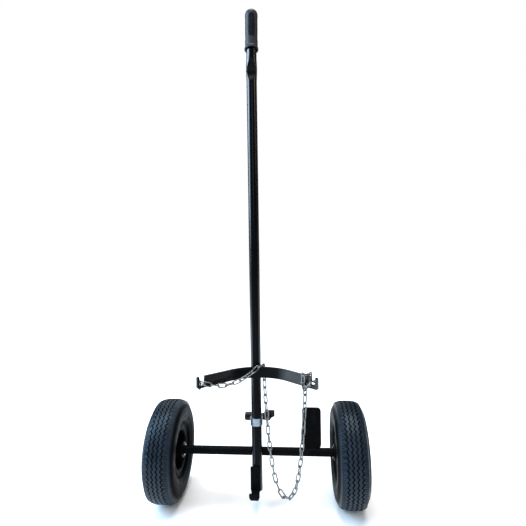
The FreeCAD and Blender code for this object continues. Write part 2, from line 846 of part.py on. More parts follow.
def twisted_spread(along, plane_normal, twist):
    """The width direction of a link turned by twist degrees out of the chain's own plane."""
    across = plane_normal.cross(along).normalize()
    angle = math.radians(twist)
    return across * math.cos(angle) + plane_normal * math.sin(angle)


def chain_links(points, twists):
    """Links between consecutive hooking points, each turned by its own twist."""
    span = points[-1] - points[0]
    plane_normal = V(-span.y, span.x, 0).normalize()
    ways = [(end - start).normalize() for start, end in zip(points, points[1:])]
    sums = [before + after for before, after in zip(ways, ways[1:])]
    bends = [ways[0]] + [both * (2 / both.dot(both)) for both in sums] + [ways[-1]]
    links = []
    for i, twist in enumerate(twists):
        start = points[i] - bends[i] * tip_to_hook
        end = points[i + 1] + bends[i + 1] * tip_to_hook
        links.append(link_between(start, end, twisted_spread(ways[i], plane_normal, twist)))
    return links


# the link on the cradle's top edge, and where the hanging loop hooks into it
edge_link_z = cradle_top_z + wire_radius + chain_gap
edge_link_front = V(edge_link_front_x, cradle_front_y - edge_link_front_gap, edge_link_z)
edge_link_back = V(edge_link_back_x, pole_front_y + edge_link_back_gap, edge_link_z)
edge_link_way = (edge_link_back - edge_link_front).normalize()
loop_start = edge_link_back + edge_link_way * tip_to_hook + Z_AXIS * wire_radius

# where the front run hooks into the link in the left slot
left_slot_z = slot_floor_z + left_slot_rise
left_slot_hook = cradle_point(-1, slot_centre - tip_to_hook, left_slot_hook_depth, left_slot_z)


def arm_way(side):
    """Along an arm, away from the pole."""
    return cradle_point(side, 1, 0, 0) - cradle_point(side, 0, 0, 0)


def arm_front(side):
    """Square to an arm, towards the side that the cylinder stands on."""
    return cradle_point(side, 0, 1, 0) - cradle_point(side, 0, 0, 0)


def chain_front_run():
    """From the left slot, sagging in front of the cradle, to the link on the top edge."""
    points = hanging_points(left_slot_hook, edge_link_front, front_links)
    step = 180 * front_half_twists / (front_links - 1)
    return chain_links(points, [i * step for i in range(front_links)])


def chain_edge_link():
    return [link_between(edge_link_front, edge_link_back, Z_AXIS.cross(edge_link_way))]


def chain_tail():
    """The flat link in the left slot, and the chain's last link, which hangs behind the arm."""
    front = cradle_point(-1, slot_centre, left_slot_reach, left_slot_z)
    backwards = arm_front(-1) * -1
    back = front + backwards * (2 * tip_to_bend + bend_to_bend)
    through = link_between(front, back, arm_way(-1))
    last = link_beside(back, Z_AXIS * -1, backwards)
    return [through, last]


def lowest_loop_way():
    """The direction in which the lowest link of the chain's end hangs."""
    return (arm_way(1) * loop_low_side - Z_AXIS).normalize()


def chain_end_loop():
    """Seven links: up in front of the right arm, over it, down behind, out through the slot."""
    arm = arm_way(1)
    front = arm_front(1)
    over_z = cradle_top_z + wire_radius + chain_gap
    over_bend = cradle_point(1, loop_over_along, loop_back_depth + tip_to_bend, over_z)
    over_way = (front - arm * loop_over_skew).normalize()
    over = link_beside(over_bend, over_way, arm)

    up_bend = over_bend + over_way * (loop_front_depth - loop_back_depth - tip_to_bend)
    up_bend = up_bend - arm * tip_to_bend
    up = link_beside(up_bend, Z_AXIS * -1, arm)

    low_way = lowest_loop_way()
    up_tip = up_bend - Z_AXIS * (bend_to_bend + tip_to_bend)
    low_bend = up_tip + front * (loop_hook_depth - loop_front_depth) + low_way * loop_low_drop
    low = link_beside(low_bend, low_way, front)
    low_tip = low_bend + low_way * (bend_to_bend + tip_to_bend)

    return_tip = low_tip + arm * loop_return_side + Z_AXIS * loop_return_rise
    slot_tip = cradle_point(
        1, slot_centre + loop_slot_shift, loop_slot_reach, slot_floor_z + loop_slot_rise
    )
    back = link_beside(slot_tip, return_tip - slot_tip, front)

    slot_spread = Z_AXIS - arm * loop_slot_lean
    through = link_beside(slot_tip - front * tip_to_bend, front * -1, slot_spread)
    behind_bend = slot_tip - front * (tip_to_bend + bend_to_bend) - Z_AXIS * tip_to_bend
    behind_way = (Z_AXIS * loop_behind_rise - arm).normalize()
    behind = link_beside(behind_bend, behind_way, Z_AXIS)
    down_bend = behind_bend + behind_way * bend_to_bend + Z_AXIS * tip_to_bend
    down = link_beside(down_bend, Z_AXIS, front)
    return [low, up, over, down, behind, through, back]


def loop_end():
    """Where the hanging loop hooks into the two lowest links of the chain's end."""
    lowest = chain_end_loop()[0]
    low_tip = lowest.Placement.Base + lowest_loop_way() * (bend_to_bend / 2 + tip_to_bend)
    return low_tip + arm_way(1) * loop_end_side + Z_AXIS * (loop_end_rise - tip_to_hook)


def chain_hanging_loop():
    points = hanging_points(loop_start, loop_end(), hanging_links)
    lowest = min(point.z for point in points)
    print(f"hanging loop: lowest hooking point at {lowest:.1f} mm")
    quarter_turn_and_more = 90 * hanging_links / (hanging_links - 1)
    twists = [90 + quarter_turn_and_more * i for i in range(hanging_links)]
    return chain_links(points, twists)


def main():
    os.makedirs("parts", exist_ok=True)
    solid_node("pole_tube", [pole_tube()])
    solid_node("hand_grip", [hand_grip()])
    solid_node("cradle_strip", [cradle_strip()])
    solid_node("foot_hook", [foot_hook()])
    solid_node("axle_tube", [axle_tube()])
    solid_node("axle_shaft", [axle_shaft()])
    solid_node("kick_plate", [kick_plate()])
    solid_node("axle_washers", axle_washers())
    solid_node("split_pins", split_pins())
    solid_node("clamp_band", [clamp_band()])
    solid_node("clamp_bolt", [clamp_bolt()])
    solid_node("clamp_cap", [clamp_cap()])
    solid_node("thumb_knob", [thumb_knob()])
    solid_node("thumb_knob_bush", [thumb_knob_bush()])
    wheel_nodes("left", -1)
    wheel_nodes("right", 1)
    solid_node("chain_front_run", chain_front_run())
    solid_node("chain_edge_link", chain_edge_link())
    solid_node("chain_tail", chain_tail())
    solid_node("chain_end_loop", chain_end_loop())
    solid_node("chain_hanging_loop", chain_hanging_loop())
    for name, point in (("loop_start", loop_start), ("loop_end", loop_end())):
        print(f"{name}: {point.x:.2f} {point.y:.2f} {point.z:.2f}")


main()
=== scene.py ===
import json
import math
import random

import bmesh
import bpy
import numpy as np
from mathutils import Matrix, Vector

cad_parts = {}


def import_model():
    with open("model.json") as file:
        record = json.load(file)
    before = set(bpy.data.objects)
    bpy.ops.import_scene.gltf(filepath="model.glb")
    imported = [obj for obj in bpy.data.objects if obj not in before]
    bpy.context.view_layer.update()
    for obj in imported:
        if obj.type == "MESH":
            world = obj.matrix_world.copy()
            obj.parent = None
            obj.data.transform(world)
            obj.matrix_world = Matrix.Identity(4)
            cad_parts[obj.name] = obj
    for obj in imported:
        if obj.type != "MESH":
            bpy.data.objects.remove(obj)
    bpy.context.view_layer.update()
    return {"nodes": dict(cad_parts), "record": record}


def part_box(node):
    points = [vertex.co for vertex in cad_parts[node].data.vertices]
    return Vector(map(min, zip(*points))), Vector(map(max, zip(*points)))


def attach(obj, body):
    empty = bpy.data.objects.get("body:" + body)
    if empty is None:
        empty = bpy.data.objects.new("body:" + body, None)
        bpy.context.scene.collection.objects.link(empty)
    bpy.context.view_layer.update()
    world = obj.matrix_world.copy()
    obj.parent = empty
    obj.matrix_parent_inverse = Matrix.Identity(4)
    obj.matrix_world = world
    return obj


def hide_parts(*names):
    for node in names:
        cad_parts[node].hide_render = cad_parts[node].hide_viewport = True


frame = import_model()

TAU = 2 * math.pi
MM = 0.001
nodes = frame["nodes"]
X = Vector((1, 0, 0))
Y = Vector((0, 1, 0))


def box_centre(node):
    low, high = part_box(node)
    return (Vector(low) + Vector(high)) / 2


def box_size(node):
    low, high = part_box(node)
    return Vector(high) - Vector(low)


# sizes and places read from the frame, in metres
tyre_radius = box_size("right_tyre").z / 2
tyre_half_width = box_size("right_tyre").x / 2
axle_z = box_centre("right_tyre").z
wheel_x = box_centre("right_tyre").x
axle_tube_radius = box_size("axle_tube").z / 2
widest_to_plain = 14.7 / 13.45  # the pole's half width at its crushed bend, to its plain radius
pole_radius = box_size("pole_tube").x / 2 / widest_to_plain
pole_y = -(axle_tube_radius + pole_radius)
pole_bottom_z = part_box("pole_tube")[0][2]
cradle_low = Vector(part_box("cradle_strip")[0])
cradle_high = Vector(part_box("cradle_strip")[1])
foot_low = Vector(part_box("foot_hook")[0])
foot_high = Vector(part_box("foot_hook")[1])
plate_low = Vector(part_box("kick_plate")[0])
plate_high = Vector(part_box("kick_plate")[1])

# the pole's bend and the grip on its leaning end
bend_z = 1137 * MM
bend_angle = math.radians(6)
bend_reach = 26 * MM            # half the length over which the axis turns
bend_half_length = 36 * MM      # half the length over which the tube is crushed
grip_start = 54 * MM
grip_length = 110 * MM
flat_centre = -7 * MM           # the leaf-shaped flat pressed into the bend's front
flat_half_length = 30 * MM
flat_depth = 5.2 * MM
flat_roundness = 1.7            # how softly the flat runs out at its ends
crush_wider = 0.085             # how much wider and how much less deep the crushed tube is
crush_flatter = 0.13
pole_wall = 2.3 * MM
pole_sides = 64
pole_end_chamfer = 0.4 * MM
pole_end_cover = 12 * MM        # between the pole's hidden top and the grip's end
straight_step = 50 * MM         # between rings below the bend
straight_rings = 22
bend_rings_each_side = 14


# ---------------------------------------------------------------- materials
class Nodes:
    """A material's node tree, built with short calls."""

    def __init__(self, name):
        self.material = bpy.data.materials.new(name)
        self.material.use_nodes = True
        self.tree = self.material.node_tree
        self.shader = self.tree.nodes["Principled BSDF"]
        self.coordinates = self.new("ShaderNodeTexCoord").outputs["Object"]

    def new(self, kind, **inputs):
        node = self.tree.nodes.new(kind)
        for name, value in inputs.items():
            self.feed(node.inputs[name.replace("_", " ")], value)
        return node

    def feed(self, socket, value):
        if isinstance(value, bpy.types.NodeSocket):
            self.tree.links.new(value, socket)
        else:
            socket.default_value = value

    def noise(self, scale, detail=4.0, roughness=0.55):
        node = self.new("ShaderNodeTexNoise", Scale=scale, Detail=detail, Roughness=roughness)
        self.tree.links.new(self.coordinates, node.inputs["Vector"])
        return node.outputs["Fac"]

    def cells(self, scale):
        node = self.new("ShaderNodeTexVoronoi", Scale=scale)
        self.tree.links.new(self.coordinates, node.inputs["Vector"])
        return node.outputs["Color"]

    def remap(self, value, from_low, from_high, to_low, to_high):
        node = self.tree.nodes.new("ShaderNodeMapRange")
        levels = (value, from_low, from_high, to_low, to_high)
        for socket, level in zip(node.inputs, levels):
            self.feed(socket, level)
        return node.outputs["Result"]

    def mix(self, factor, first, second, blend="MIX"):
        node = self.tree.nodes.new("ShaderNodeMix")
        node.data_type = "RGBA"
        node.blend_type = blend
        self.feed(node.inputs["Factor"], factor)
        self.feed(node.inputs["A"], first)
        self.feed(node.inputs["B"], second)
        return node.outputs["Result"]

    def turned_away(self):
        """0 where the surface is seen square on, 1 where it is seen edge on."""
        return self.new("ShaderNodeLayerWeight", Blend=0.5).outputs["Facing"]

    def bump(self, height, strength, distance):
        node = self.new("ShaderNodeBump", Strength=strength, Distance=distance, Height=height)
        self.tree.links.new(node.outputs["Normal"], self.shader.inputs["Normal"])

    def set(self, **inputs):
        for name, value in inputs.items():
            self.feed(self.shader.inputs[name.replace("_", " ")], value)


def grey(level):
    return (level, level, level, 1)


def shade(colour, share):
    """A colour made lighter or darker."""
    return tuple(part * share for part in colour[:3]) + (1,)


def black_paint():
    """Gloss black powder coat: faint orange peel, dust and dulled patches."""
    n = Nodes("black_paint")
    dust = n.remap(n.noise(70, 8, 0.7), 0.58, 0.8, 0.0, 0.4)
    colour = n.mix(dust, (0.0012, 0.0014, 0.002, 1), (0.007, 0.0065, 0.0065, 1))
    n.set(Base_Color=colour, Roughness=n.remap(n.noise(22), 0.3, 0.7, 0.20, 0.30))
    facing = n.turned_away()
    rim_shine = n.remap(facing, 0.5, 0.85, 0.62, 0.02)
    n.set(Specular_IOR_Level=n.remap(facing, 0.16, 0.4, 0.045, rim_shine))
    n.bump(n.noise(160, 2), 0.1, 0.0001)
    return n.material


def dull_paint():
    """Duller and dustier black paint, for the wheels, the axle tube, the foot and the plate."""
    n = Nodes("dull_paint")
    dust = n.remap(n.noise(55, 8, 0.7), 0.5, 0.75, 0.0, 0.6)
    colour = n.mix(dust, (0.0012, 0.0013, 0.0016, 1), (0.007, 0.0065, 0.006, 1))
    n.set(Base_Color=colour, Roughness=n.remap(n.noise(30), 0.3, 0.7, 0.45, 0.6))
    n.set(Specular_IOR_Level=0.03)
    n.bump(n.noise(350, 2), 0.1, 0.0003)
    return n.material


def zinc(name, base, spangle_scale, roughness):
    """Zinc-plated steel: soft spangle, slight blue and warm patches, fine scratches."""
    n = Nodes(name)
    light = shade(base, 1.15)
    dark = shade(base, 0.72)
    colour = n.mix(n.cells(spangle_scale), dark, light)
    patches = n.remap(n.noise(90), 0.45, 0.7, 0.0, 0.35)
    colour = n.mix(patches, colour, (0.26, 0.235, 0.20, 1))
    n.set(Base_Color=colour, Metallic=0.9)
    n.set(Roughness=n.remap(n.noise(260), 0.3, 0.7, roughness - 0.08, roughness + 0.12))
    n.bump(n.noise(900, 3), 0.2, 0.0002)
    return n.material


def tyre_rubber():
    """Weathered tyre rubber with light scuffs: the tread is made lighter and bluish as painted bluish
    light, the sides darker as painted shade, and the reflections tinted blue as a painted bluish
    reflection.
    """
    n = Nodes("tyre_rubber")
    split = n.new("ShaderNodeSeparateXYZ", Vector=n.coordinates)
    drop = n.tree.nodes.new("ShaderNodeMath")
    drop.operation = "SUBTRACT"
    n.feed(drop.inputs[0], split.outputs["Z"])
    n.feed(drop.inputs[1], axle_z)
    across = n.new("ShaderNodeCombineXYZ", Y=split.outputs["Y"], Z=drop.outputs[0])
    length = n.tree.nodes.new("ShaderNodeVectorMath")
    length.operation = "LENGTH"
    n.feed(length.inputs[0], across.outputs[0])
    radius = length.outputs["Value"]
    # painted bluish light: the tread's rubber is lighter and bluer than the sides; the noise between
    # its two tones is random weathering
    bluish_lit_weathered_tread = n.mix(n.remap(n.noise(26, 8, 0.65), 0.32, 0.68, 0.0, 1.0),
                      (0.0011, 0.0021, 0.0042, 1), (0.0034, 0.0066, 0.0130, 1))
    # painted shade: the sidewalls are darker than the tread; the noise between their two tones is
    # random
    sidewall = n.mix(n.remap(n.noise(40, 6), 0.35, 0.7, 0.0, 1.0),
                     (0.0008, 0.0009, 0.0011, 1), (0.0018, 0.0021, 0.0026, 1))
    # 0 on the sides with painted shade, 1 on the tread with painted bluish light
    on_side = n.remap(radius, tyre_radius - 15 * MM, tyre_radius - 8 * MM, 0.0, 1.0)
    colour = n.mix(on_side, sidewall, bluish_lit_weathered_tread)
    scuff = n.remap(n.noise(110, 10, 0.8), 0.68, 0.76, 0.0, 0.5)
    colour = n.mix(scuff, colour, (0.17, 0.18, 0.19, 1))
    n.set(Base_Color=colour, Roughness=n.remap(n.noise(60), 0.3, 0.7, 0.36, 0.55))
    n.set(Specular_IOR_Level=n.remap(on_side, 0.0, 1.0, 0.02, 0.28))
    # painted bluish reflection: this tint turns the rubber's reflections blue
    n.set(Specular_Tint=(0.6, 0.82, 1.0, 1))
    n.bump(n.noise(600, 6, 0.7), 0.2, 0.0003)
    return n.material


def soft_black(name, base, roughness, grain, shine=0.16):
    """Moulded rubber or plastic with a fine moulded grain."""
    n = Nodes(name)
    worn = n.remap(n.noise(80, 6), 0.35, 0.7, 0.0, 1.0)
    n.set(Base_Color=n.mix(worn, base, shade(base, 1.9)))
    n.set(Roughness=n.remap(n.noise(120), 0.3, 0.7, roughness - 0.07, roughness + 0.08))
    n.set(Specular_IOR_Level=shine)
    n.bump(n.noise(grain, 3), 0.15, 0.0002)
    return n.material


def bare_metal(name, base, roughness):
    """Unpainted metal, faintly mottled."""
    n = Nodes(name)
    n.set(Base_Color=n.mix(n.noise(140), shade(base, 0.8), base), Metallic=1.0)
    n.set(Roughness=n.remap(n.noise(300), 0.3, 0.7, roughness - 0.05, roughness + 0.08))
    return n.material


materials = {
    "black_paint": black_paint(),
    "dull_paint": dull_paint(),
    "zinc_plate": zinc("zinc_plate", (0.205, 0.24, 0.28), 420, 0.26),
    # painted shade: this zinc is made nearly black for the bolts and nuts round the dark hubs
    "dull_shaded_zinc": zinc("dull_shaded_zinc", (0.05, 0.05, 0.055), 420, 0.45),
    "chain_zinc": zinc("chain_zinc", (0.165, 0.17, 0.168), 600, 0.2),
    "tyre_rubber": tyre_rubber(),
    # painted shade: the groove faces wear a near-black rubber, darker than the tread
    "shaded_groove_rubber": soft_black("shaded_groove_rubber", (0.0006, 0.0007, 0.0009, 1), 0.7, 500),
    "tube_rubber": soft_black("tube_rubber", (0.012, 0.012, 0.014, 1), 0.55, 500),
    "grip_rubber": soft_black("grip_rubber", (0.012, 0.0135, 0.017, 1), 0.45, 900),
    # painted shade: the sunk panels' rubber is made much darker and less shiny than the rest of the
    # grip
    "grip_panel": soft_black("grip_panel", (0.0022, 0.0026, 0.0038, 1), 0.55, 1300, 0.06),
    "black_plastic": soft_black("black_plastic", (0.0014, 0.0016, 0.0022, 1), 0.26, 700, 0.14),
    "brass_bush": bare_metal("brass_bush", (0.72, 0.56, 0.28, 1), 0.3),
    # painted shade: the bearing steel is made nearly black, as the bearings sit in the dark hubs
    "bearing_steel": bare_metal("bearing_steel", (0.05, 0.048, 0.045, 1), 0.5),
}
# nodes that wear a duller finish than their slot's; the rim's bolts and nuts also get zinc darkened as
# painted shade round the hubs
dull_painted = ("rim_outer_half", "rim_inner_half", "hub_tube", "foot_hook", "kick_plate", "axle_tube")
shade_darkened_plated = ("rim_bolts", "rim_nuts")


# ---------------------------------------------------------------- mesh helpers
def mesh_piece(name, points, faces, material, body, smooth_angle=40):
    """A mesh object that rides on a body, with its faces turned outwards."""
    mesh = bpy.data.meshes.new(name)
    mesh.from_pydata([tuple(p) for p in points], [], faces)
    mesh.materials.append(materials[material])
    work = bmesh.new()
    work.from_mesh(mesh)
    bmesh.ops.recalc_face_normals(work, faces=work.faces)
    work.to_mesh(mesh)
    work.free()
    mesh.shade_smooth()
    mesh.set_sharp_from_angle(angle=math.radians(smooth_angle))
    piece = bpy.data.objects.new(name, mesh)
    bpy.context.scene.collection.objects.link(piece)
    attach(piece, body)
    return piece


def grid_faces(rows, columns, first=0, close_rows=False, close_columns=True):
    """Quads of a grid of rows x columns points, closed round either way."""
    faces = []
    for i in range(rows if close_rows else rows - 1):
        for j in range(columns if close_columns else columns - 1):
            a = first + i * columns + j
            b = first + i * columns + (j + 1) % columns
            c = first + ((i + 1) % rows) * columns + (j + 1) % columns
            d = first + ((i + 1) % rows) * columns + j
            faces.append((a, b, c, d))
    return faces


class Shape:
    """Points and faces gathered into one piece."""

    def __init__(self):
        self.points = []
        self.faces = []

    def add_rings(self, rings, closed_loop=False):
        first = len(self.points)
        columns = len(rings[0])
        for ring in rings:
            self.points.extend(ring)
        self.faces += grid_faces(len(rings), columns, first, close_rows=closed_loop)
        if not closed_loop:
            last = first + (len(rings) - 1) * columns
            self.faces.append(tuple(range(first + columns - 1, first - 1, -1)))
            self.faces.append(tuple(range(last, last + columns)))

    def piece(self, name, material, body, smooth_angle=40):
        return mesh_piece(name, self.points, self.faces, material, body, smooth_angle)


def circle_of(centre, first_way, second_way, radius, count):
    """Points of a circle round a centre, from one direction towards another."""
    angles = [TAU * k / count for k in range(count)]
    return [centre + first_way * radius * math.cos(a) + second_way * radius * math.sin(a)
            for a in angles]


def frame_along(path):
    """At each point of a path, two directions square to it, turned as little as possible."""
    pairs = []
    side = None
    for i, point in enumerate(path):
        before = path[max(i - 1, 0)]
        after = path[min(i + 1, len(path) - 1)]
        way = (after - before).normalized()
        if side is None:
            side = way.orthogonal().normalized()
        side = (side - way * side.dot(way)).normalized()
        pairs.append((side, way.cross(side)))
    return pairs


# ---------------------------------------------------------------- tyres
zigs = 62
zig_swing = 2.4 * MM
groove_depth = 5.0 * MM
groove_half_width = 1.8 * MM
groove_offsets = [x * MM for x in (-16.5, -5.5, 5.5, 16.5)]
groove_floor_share = 0.6          # half the groove's floor, as a share of half its mouth
rib_shares = (0.2, 0.5, 0.8)      # places of the columns across a rib
tread_half_width = 31 * MM
sipe_depth = 1.5 * MM
sipe_half_angle = 0.055           # in zig pitches
sipe_slant = 0.5                  # in zig pitches over the shoulder rib
tread_phases = (0.0, 0.25, 0.5, 0.75)
crown_drop = 5.2 * MM             # from the tread's middle to its edge
crown_power = 3                   # how late the crown falls away
tyre_smooth_angle = 28
hollow_centre = (5 * MM, 96 * MM)   # the arc round the tyre's inside, as (x, radius)
hollow_radius = 27.5 * MM
hollow_angles = (-38, 60)
hollow_points = 8


def tread_profile():
    """Across the tread: (x, share of the zigzag, lies in a groove, may hold a sipe)."""
    columns = [(-tread_half_width, 0.0, False, False)]
    edges = [-tread_half_width] + groove_offsets + [tread_half_width]
    for i, centre in enumerate(groove_offsets):
        start = edges[i] + (groove_half_width if i else 0)
        end = centre - groove_half_width
        for share in rib_shares:
            follows = share if i == 0 else 1.0
            columns.append((start + (end - start) * share, follows, False, i == 0))
        columns.append((end, 1.0, False, False))
        columns.append((centre - groove_half_width * groove_floor_share, 1.0, True, False))
        columns.append((centre + groove_half_width * groove_floor_share, 1.0, True, False))
        columns.append((centre + groove_half_width, 1.0, False, False))
    start = groove_offsets[-1] + groove_half_width
    for share in rib_shares:
        x = start + (tread_half_width - start) * share
        columns.append((x, 1 - share, False, True))
    columns.append((tread_half_width, 0.0, False, False))
    return columns


def arc_points(centre, radius, start, end, count):
    """Points on an arc in the (x, radius) plane, angles in degrees."""
    step = (end - start) / (count - 1)
    angles = [math.radians(start + step * i) for i in range(count)]
    return [(centre[0] + radius * math.cos(a), centre[1] + radius * math.sin(a)) for a in angles]


def sidewall_profile():
    """From the tread's edge down the side and round the bead to the inside, as (x, radius)."""
    wall = [
        (33.0, 119.6), (34.9, 116.8), (36.4, 114.0), (37.6, 110.9), (37.9, 110.2), (38.6, 109.8),
        (39.1, 108.2), (39.4, 106.4), (39.9, 101), (40.0, 97), (39.8, 92), (39.2, 86.5),
        (39.4, 86.0), (39.0, 84.8), (38.2, 83.4), (36.8, 79), (35.2, 75.2), (34.9, 74.2),
        (34.0, 72.6), (33.0, 71.2), (29.5, 68.5), (26.4, 67.0), (26.4, 60), (26.4, 54.5),
        (23.6, 51.4), (20, 51.2), (16.4, 52), (18.2, 62), (27, 72.5),
    ]
    points = [(min(x * MM, tyre_half_width), r * MM) for x, r in wall]
    return points + arc_points(hollow_centre, hollow_radius, *hollow_angles, hollow_points)


def tyre(side_name, centre_x):
    """A treaded tyre: its cross-section at every step round the wheel."""
    tread = tread_profile()
    side = sidewall_profile()
    steps = []
    for k in range(zigs):
        for phase in tread_phases:
            steps.append((k + phase, 0.0))
            if phase in (0.0, 0.5):
                steps.append((k + phase + 2 * sipe_half_angle, 1.0))
                steps.append((k + phase + 4 * sipe_half_angle, 0.0))
    rings = []
    for step, sipe in steps:
        phase = step % 1.0
        swing = zig_swing * (4 * abs(phase - 0.5) - 1)
        ring = []
        for x, share, in_groove, may_sipe in tread:
            place = x + swing * share
            radius = tyre_radius - crown_drop * (abs(place) / tread_half_width) ** crown_power
            if in_groove:
                radius -= groove_depth
            elif may_sipe:
                radius -= sipe_depth * sipe
            beyond = max(0.0, abs(x) - groove_offsets[-1]) / (tread_half_width - groove_offsets[-1])
            angle = TAU * (step + sipe_slant * beyond) / zigs
            ring.append((place, radius, angle))
        plain = TAU * (step + sipe_slant) / zigs
        ring += [(x, r, plain) for x, r in side]
        ring += [(-x, r, plain) for x, r in reversed(side)]
        rings.append([
            Vector((centre_x + x, r * math.cos(a), axle_z + r * math.sin(a))) for x, r, a in ring
        ])
    shape = Shape()
    shape.add_rings(rings, closed_loop=True)
    piece = shape.piece(f"{side_name}_treaded_tyre", "tyre_rubber", f"{side_name}_wheel",
                        tyre_smooth_angle)
    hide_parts(f"{side_name}_tyre")
    # the groove faces get the near-black rubber: painted shade in the grooves
    piece.data.materials.append(materials["shaded_groove_rubber"])
    columns = len(ring)
    grooves = {j for j in range(len(tread) - 1) if tread[j][2] or tread[j + 1][2]}
    for face in piece.data.polygons:
        if face.index % columns in grooves:
            face.material_index = 1


# ---------------------------------------------------------------- pole and grip
def lean_matrix():
    """From a place measured above the bend to the leaning end of the pole."""
    return Matrix.Translation((0, pole_y, bend_z)) @ Matrix.Rotation(-bend_angle, 4, "X")


def pole_axis(distance):
    """The pole's centre and square directions at a distance from the bend's middle."""
    share = min(max(distance / bend_reach, -1), 1)
    angle = bend_angle * (share + 1) / 2
    turn = Matrix.Rotation(-angle, 3, "X")
    if distance <= 0:
        centre = Vector((0, pole_y, bend_z + distance))
    else:
        centre = lean_matrix() @ Vector((0, 0, distance))
    return centre, turn @ X, turn @ Y


def crush(distance):
    """How far the tube is crushed, from 0 to 1, at a distance from the bend's middle."""
    share = min(abs(distance) / bend_half_length, 1)
    return (math.cos(math.pi * share) + 1) / 2


def pole_ring(distance, radius):
    """The tube's outline at a distance from the bend's middle."""
    centre, across, back = pole_axis(distance)
    amount = crush(distance)
    along_flat = (distance - flat_centre) / flat_half_length
    flat = flat_depth * max(0.0, 1 - along_flat ** 2) ** flat_roundness
    ring = []
    for k in range(pole_sides):
        angle = TAU * k / pole_sides
        wide = radius * (1 + crush_wider * amount)
        deep = radius * (1 - crush_flatter * amount)
        depth = max(deep * math.sin(angle), -deep + flat)
        ring.append(centre + across * wide * math.cos(angle) + back * depth)
    return ring


def pole():
    """The crushed tube, open at its bottom: up the outside, then down the inside."""
    top = grip_start + grip_length - pole_end_cover
    bottom = pole_bottom_z - bend_z
    straight = [bottom + i * straight_step for i in range(1, straight_rings)]
    bend_step = bend_half_length / bend_rings_each_side
    bend = [-bend_half_length + i * bend_step for i in range(2 * bend_rings_each_side + 1)]
    rings = [pole_ring(bottom, pole_radius - pole_end_chamfer),
             pole_ring(bottom + pole_end_chamfer, pole_radius)]
    rings += [pole_ring(d, pole_radius) for d in straight + bend + [top]]
    rings += [pole_ring(d, pole_radius - pole_wall) for d in reversed(bend[::4] + [top])]
    rings.append(pole_ring(bottom, pole_radius - pole_wall))
    shape = Shape()
    shape.add_rings(rings, closed_loop=True)
    piece = shape.piece("pole_tube_crushed", "black_paint", "frame")
    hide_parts("pole_tube")


grip_panels = 4
grip_panel_share = 0.33           # half a panel's width, as a share of the way to the next one
grip_panel_turn = 0.09            # how far the panels are turned, as a share of that way
grip_panel_low = 28 * MM
grip_panel_high = 94 * MM
grip_panel_depth = 0.9 * MM
grip_panel_steepness = 2.5        # how fast a panel reaches its depth inside its edge
grip_panel_shade_edge = 0.1      # how far inside a panel the darker rubber of its painted shade starts
grip_rib_pitch = 4.0 * MM
grip_rib_height = 0.25 * MM
grip_mouth_radius = 16.2 * MM
grip_mouth_depth = 6 * MM
grip_mouth_edge = 0.3 * MM
grip_bore_slack = 0.05 * MM
grip_end_wall = 8 * MM
grip_sides = 96
grip_smooth_angle = 50


def grip_radius_at(height):
    """The grip's plain outline, height from its open end."""
    outline = [
        (0, 17.9), (0.8, 18.35), (4.4, 18.3), (6.2, 17.5), (8, 16.6), (12, 16.5), (50, 17.1),
        (90, 17.1), (99, 16.8), (104, 15.4), (107.3, 12.8), (109.0, 8.8), (109.75, 4.2), (109.9, 0.6),
    ]
    for (low, r_low), (high, r_high) in zip(outline, outline[1:]):
        if height <= high * MM:
            share = (height / MM - low) / (high - low)
            return (r_low + (r_high - r_low) * share) * MM
    return outline[-1][1] * MM


def panel_depth(angle, height):
    """How far inside a grip panel a place lies: below 0 is outside."""
    turn = (angle * grip_panels / TAU + 0.5 - grip_panel_turn) % 1.0
    sideways = abs(turn - 0.5) / grip_panel_share
    middle = (grip_panel_low + grip_panel_high) / 2
    upwards = abs(height - middle) / ((grip_panel_high - grip_panel_low) / 2)
    return 1 - (sideways ** 3 + upwards ** 6)


def grip():
    """Rubber sleeve: lip round a recessed mouth, sunk ribbed panels, domed end."""
    heights = [0, 0.8, 2.6, 4.4, 5.3, 6.2, 7.1, 8, 9, 12, 18, 24, 30, 36]
    heights += [38 + i * 0.5 for i in range(117)]
    heights += [98, 100, 102, 104, 105.8, 107.3, 108.3, 109.0, 109.5, 109.75, 109.9]
    place = lean_matrix() @ Matrix.Translation((0, 0, grip_start))

    def circle(radius_at, height):
        angles = [TAU * k / grip_sides for k in range(grip_sides)]
        radii = [radius_at(angle) for angle in angles]
        return [place @ Vector((r * math.cos(a), r * math.sin(a), height))
                for a, r in zip(angles, radii)]

    def outer_radius(angle, height):
        sunk = min(max(panel_depth(angle, height) * grip_panel_steepness, 0), 1)
        rib = 0.5 + 0.5 * math.cos(TAU * height / grip_rib_pitch)
        return grip_radius_at(height) - sunk * (grip_panel_depth - grip_rib_height * rib)

    inner = pole_radius + grip_bore_slack
    bore = [(inner, grip_length - grip_end_wall), (inner, grip_mouth_depth),
            (grip_mouth_radius, grip_mouth_depth), (grip_mouth_radius, grip_mouth_edge)]
    rings = [circle(lambda angle, r=radius: r, height) for radius, height in bore]
    rings += [circle(lambda angle, h=height * MM: outer_radius(angle, h), height * MM)
              for height in heights]
    shape = Shape()
    shape.add_rings(rings)
    piece = shape.piece("ribbed_hand_grip", "grip_rubber", "frame", grip_smooth_angle)
    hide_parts("hand_grip")
    # the sunk panels get the darker rubber: painted shade in the recesses
    piece.data.materials.append(materials["grip_panel"])
    to_grip = place.inverted()
    for face in piece.data.polygons:
        local = to_grip @ face.center
        angle = math.atan2(local.y, local.x) % TAU
        if panel_depth(angle, local.z) > grip_panel_shade_edge:
            face.material_index = 1


